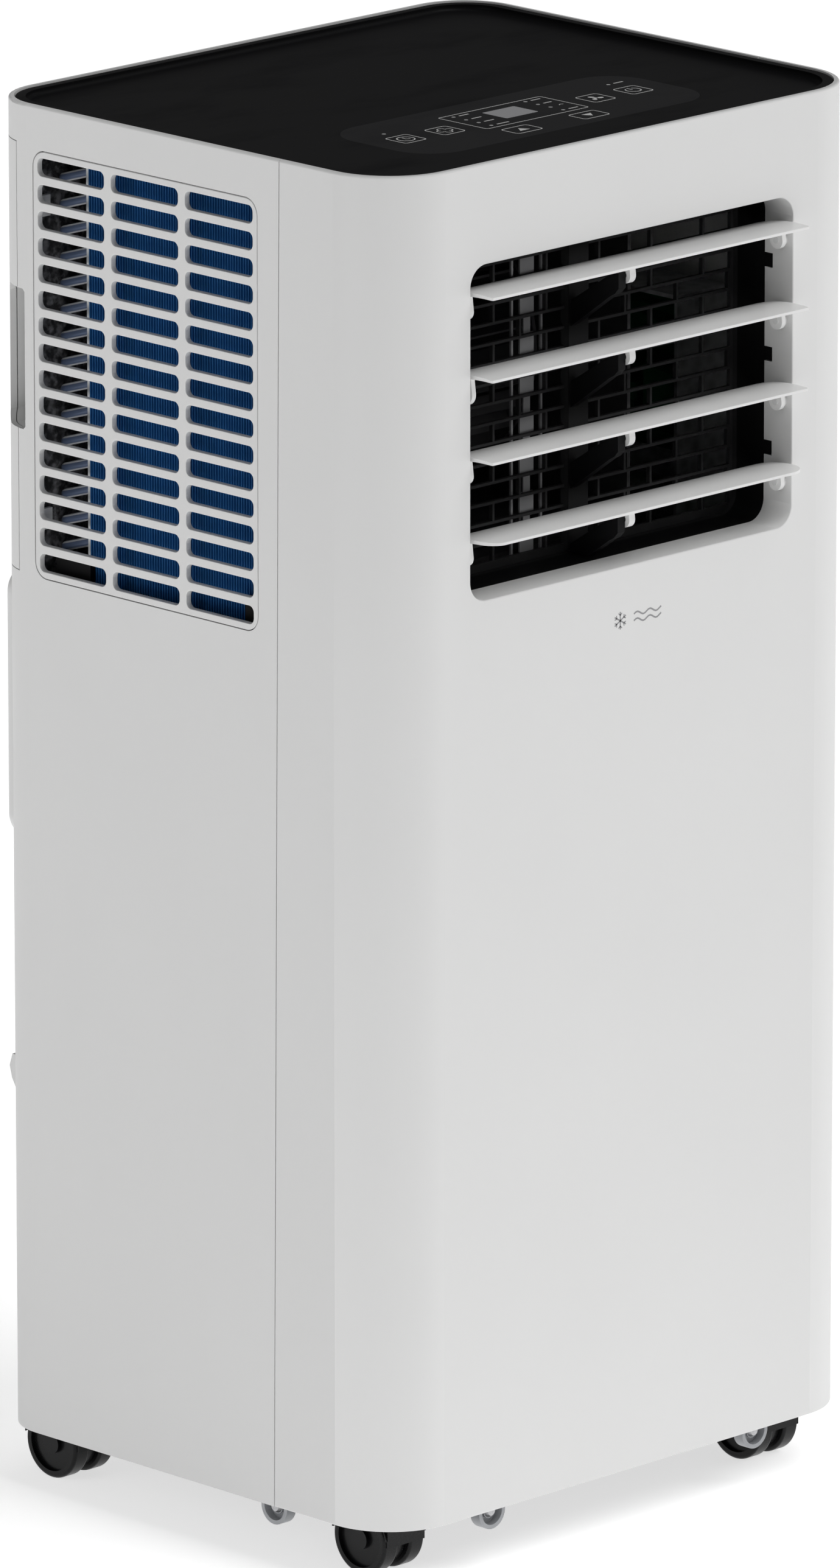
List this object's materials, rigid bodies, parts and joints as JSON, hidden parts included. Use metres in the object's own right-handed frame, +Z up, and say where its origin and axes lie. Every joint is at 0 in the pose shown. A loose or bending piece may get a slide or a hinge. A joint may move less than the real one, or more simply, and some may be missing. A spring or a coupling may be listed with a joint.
{
  "type": "portable air conditioner",
  "caption": "Upright portable air conditioner on castors, with tilting front louvres, a side inlet grille, a black touch-panel top and a rear exhaust box.",
  "frame": {"origin": "on the floor, below the plan centre of the cabinet", "axes": "+Z up, front face and louvres towards -Y, side inlet grille on the -X side"},
  "size_m": [0.316, 0.3003, 0.671],
  "materials": {
    "shell_white": "satin",
    "louvre_white": "satin",
    "tray_black": "gloss",
    "overlay_film": "satin",
    "lens_grey": "gloss",
    "duct_black": "matte",
    "castor_black": "satin",
    "fin_blue": "satin",
    "fin_bare": "satin",
    "copper": "satin",
    "zinc_steel": "satin",
    "bend_steel": "satin",
    "foam_grey": "matte",
    "scroll_grey": "matte",
    "wheel_grey": "matte",
    "motor_steel": "satin",
    "compressor_black": "satin",
    "rubber_black": "matte",
    "board_green": "satin",
    "lug_grey": "satin",
    "net_grey": "matte"
  },
  "bodies": {
    "cabinet": {"front_panel": "shell_white", "rear_shell": "shell_white", "handle_cups": "shell_white", "insulation_pad": "foam_grey", "top_cover": "tray_black", "touch_overlay": "overlay_film", "display_lens": "lens_grey", "control_board": "board_green", "outlet_duct": "duct_black", "outlet_guard": "duct_black", "outlet_brace": "bend_steel", "louvre_motor": "motor_steel", "evaporator_fins": "fin_blue", "evaporator_tubes": "bend_steel", "coil_end_plates": "zinc_steel", "drip_tray": "duct_black", "cold_scroll": "scroll_grey", "cold_motor": "motor_steel", "mid_deck": "scroll_grey", "electrical_box": "zinc_steel", "capacitor": "motor_steel", "power_board": "board_green", "exhaust_scroll": "scroll_grey", "exhaust_motor": "motor_steel", "exhaust_outlet": "shell_white", "condenser_fins": "fin_bare", "condenser_tubes": "copper", "compressor": "compressor_black", "compressor_grommets": "rubber_black", "compressor_bolts": "motor_steel", "accumulator": "compressor_black", "refrigerant_pipes": "copper", "base_tray": "duct_black", "fixing_lugs": "lug_grey", "lug_screws": "motor_steel", "cord_hooks": "shell_white", "cord_gland": "rubber_black"},
    "louvre_1_body": {"louvre_1": "louvre_white"},
    "louvre_2_body": {"louvre_2": "louvre_white"},
    "louvre_3_body": {"louvre_3": "louvre_white"},
    "louvre_4_body": {"louvre_4": "louvre_white"},
    "link_body": {"louvre_link": "duct_black"},
    "side_grille_body": {"side_grille": "shell_white"},
    "rear_cover_body": {"rear_filter_cover": "shell_white", "rear_filter": "net_grey"},
    "drain_plug_body": {"drain_plug": "rubber_black"},
    "cold_fan": {"cold_wheel": "wheel_grey", "cold_shaft": "motor_steel"},
    "exhaust_fan": {"exhaust_wheel": "wheel_grey", "exhaust_shaft": "motor_steel"},
    "castor_front_left_fork": {"castor_front_left_swivel": "castor_black"},
    "castor_front_left_wheelset": {"castor_front_left_wheels": "castor_black"},
    "castor_front_right_fork": {"castor_front_right_swivel": "castor_black"},
    "castor_front_right_wheelset": {"castor_front_right_wheels": "castor_black"},
    "castor_rear_left_fork": {"castor_rear_left_swivel": "castor_black"},
    "castor_rear_left_wheelset": {"castor_rear_left_wheels": "castor_black"},
    "castor_rear_right_fork": {"castor_rear_right_swivel": "castor_black"},
    "castor_rear_right_wheelset": {"castor_rear_right_wheels": "castor_black"}
  },
  "joints": [
    {"name": "louvre_1_tilt", "type": "hinge", "parent": "cabinet", "child": "louvre_1_body", "pos_m": [0, -0.1275, 0.6022], "axis": [1, 0, 0], "range_deg": [-12, 97]},
    {"name": "louvre_2_tilt", "type": "hinge", "parent": "cabinet", "child": "louvre_2_body", "pos_m": [0, -0.1275, 0.5637], "axis": [1, 0, 0], "range_deg": [-12, 97]},
    {"name": "louvre_3_tilt", "type": "hinge", "parent": "cabinet", "child": "louvre_3_body", "pos_m": [0, -0.1275, 0.5252], "axis": [1, 0, 0], "range_deg": [-12, 97]},
    {"name": "louvre_4_tilt", "type": "hinge", "parent": "cabinet", "child": "louvre_4_body", "pos_m": [0, -0.1275, 0.4867], "axis": [1, 0, 0], "range_deg": [-12, 97]},
    {"name": "link_swing", "type": "hinge", "parent": "louvre_2_body", "child": "link_body", "pos_m": [-0.098, -0.11624, 0.5572], "axis": [1, 0, 0], "range_deg": [-97, 12]},
    {"name": "side_grille_pull", "type": "slide", "parent": "cabinet", "child": "side_grille_body", "axis": [-1, 0, 0], "range_m": [0, 0.03]},
    {"name": "rear_cover_pull", "type": "slide", "parent": "cabinet", "child": "rear_cover_body", "axis": [0, 1, 0], "range_m": [0, 0.04]},
    {"name": "drain_plug_pull", "type": "slide", "parent": "cabinet", "child": "drain_plug_body", "axis": [0, 1, 0], "range_m": [0, 0.03]},
    {"name": "cold_fan_spin", "type": "hinge", "parent": "cabinet", "child": "cold_fan", "pos_m": [0, 0.02, 0.548], "axis": [1, 0, 0], "continuous": true},
    {"name": "exhaust_fan_spin", "type": "hinge", "parent": "cabinet", "child": "exhaust_fan", "pos_m": [0, 0.006, 0.368], "axis": [1, 0, 0], "continuous": true},
    {"name": "castor_front_left_turn", "type": "hinge", "parent": "cabinet", "child": "castor_front_left_fork", "pos_m": [-0.1255, -0.103, 0.05], "axis": [0, 0, 1], "continuous": true},
    {"name": "castor_front_left_roll", "type": "hinge", "parent": "castor_front_left_fork", "child": "castor_front_left_wheelset", "pos_m": [-0.1255, -0.094, 0.017], "axis": [1, 0, 0], "continuous": true},
    {"name": "castor_front_right_turn", "type": "hinge", "parent": "cabinet", "child": "castor_front_right_fork", "pos_m": [0.1255, -0.103, 0.05], "axis": [0, 0, 1], "continuous": true},
    {"name": "castor_front_right_roll", "type": "hinge", "parent": "castor_front_right_fork", "child": "castor_front_right_wheelset", "pos_m": [0.1255, -0.094, 0.017], "axis": [1, 0, 0], "continuous": true},
    {"name": "castor_rear_left_turn", "type": "hinge", "parent": "cabinet", "child": "castor_rear_left_fork", "pos_m": [-0.1255, 0.105, 0.05], "axis": [0, 0, 1], "continuous": true},
    {"name": "castor_rear_left_roll", "type": "hinge", "parent": "castor_rear_left_fork", "child": "castor_rear_left_wheelset", "pos_m": [-0.1255, 0.114, 0.017], "axis": [1, 0, 0], "continuous": true},
    {"name": "castor_rear_right_turn", "type": "hinge", "parent": "cabinet", "child": "castor_rear_right_fork", "pos_m": [0.1255, 0.105, 0.05], "axis": [0, 0, 1], "continuous": true},
    {"name": "castor_rear_right_roll", "type": "hinge", "parent": "castor_rear_right_fork", "child": "castor_rear_right_wheelset", "pos_m": [0.1255, 0.114, 0.017], "axis": [1, 0, 0], "continuous": true}
  ],
  "couplings": [
    {"joint": "louvre_1_tilt", "follows": "louvre_2_tilt", "ratio": 1},
    {"joint": "louvre_3_tilt", "follows": "louvre_2_tilt", "ratio": 1},
    {"joint": "louvre_4_tilt", "follows": "louvre_2_tilt", "ratio": 1},
    {"joint": "link_swing", "follows": "louvre_2_tilt", "ratio": -1}
  ]
}
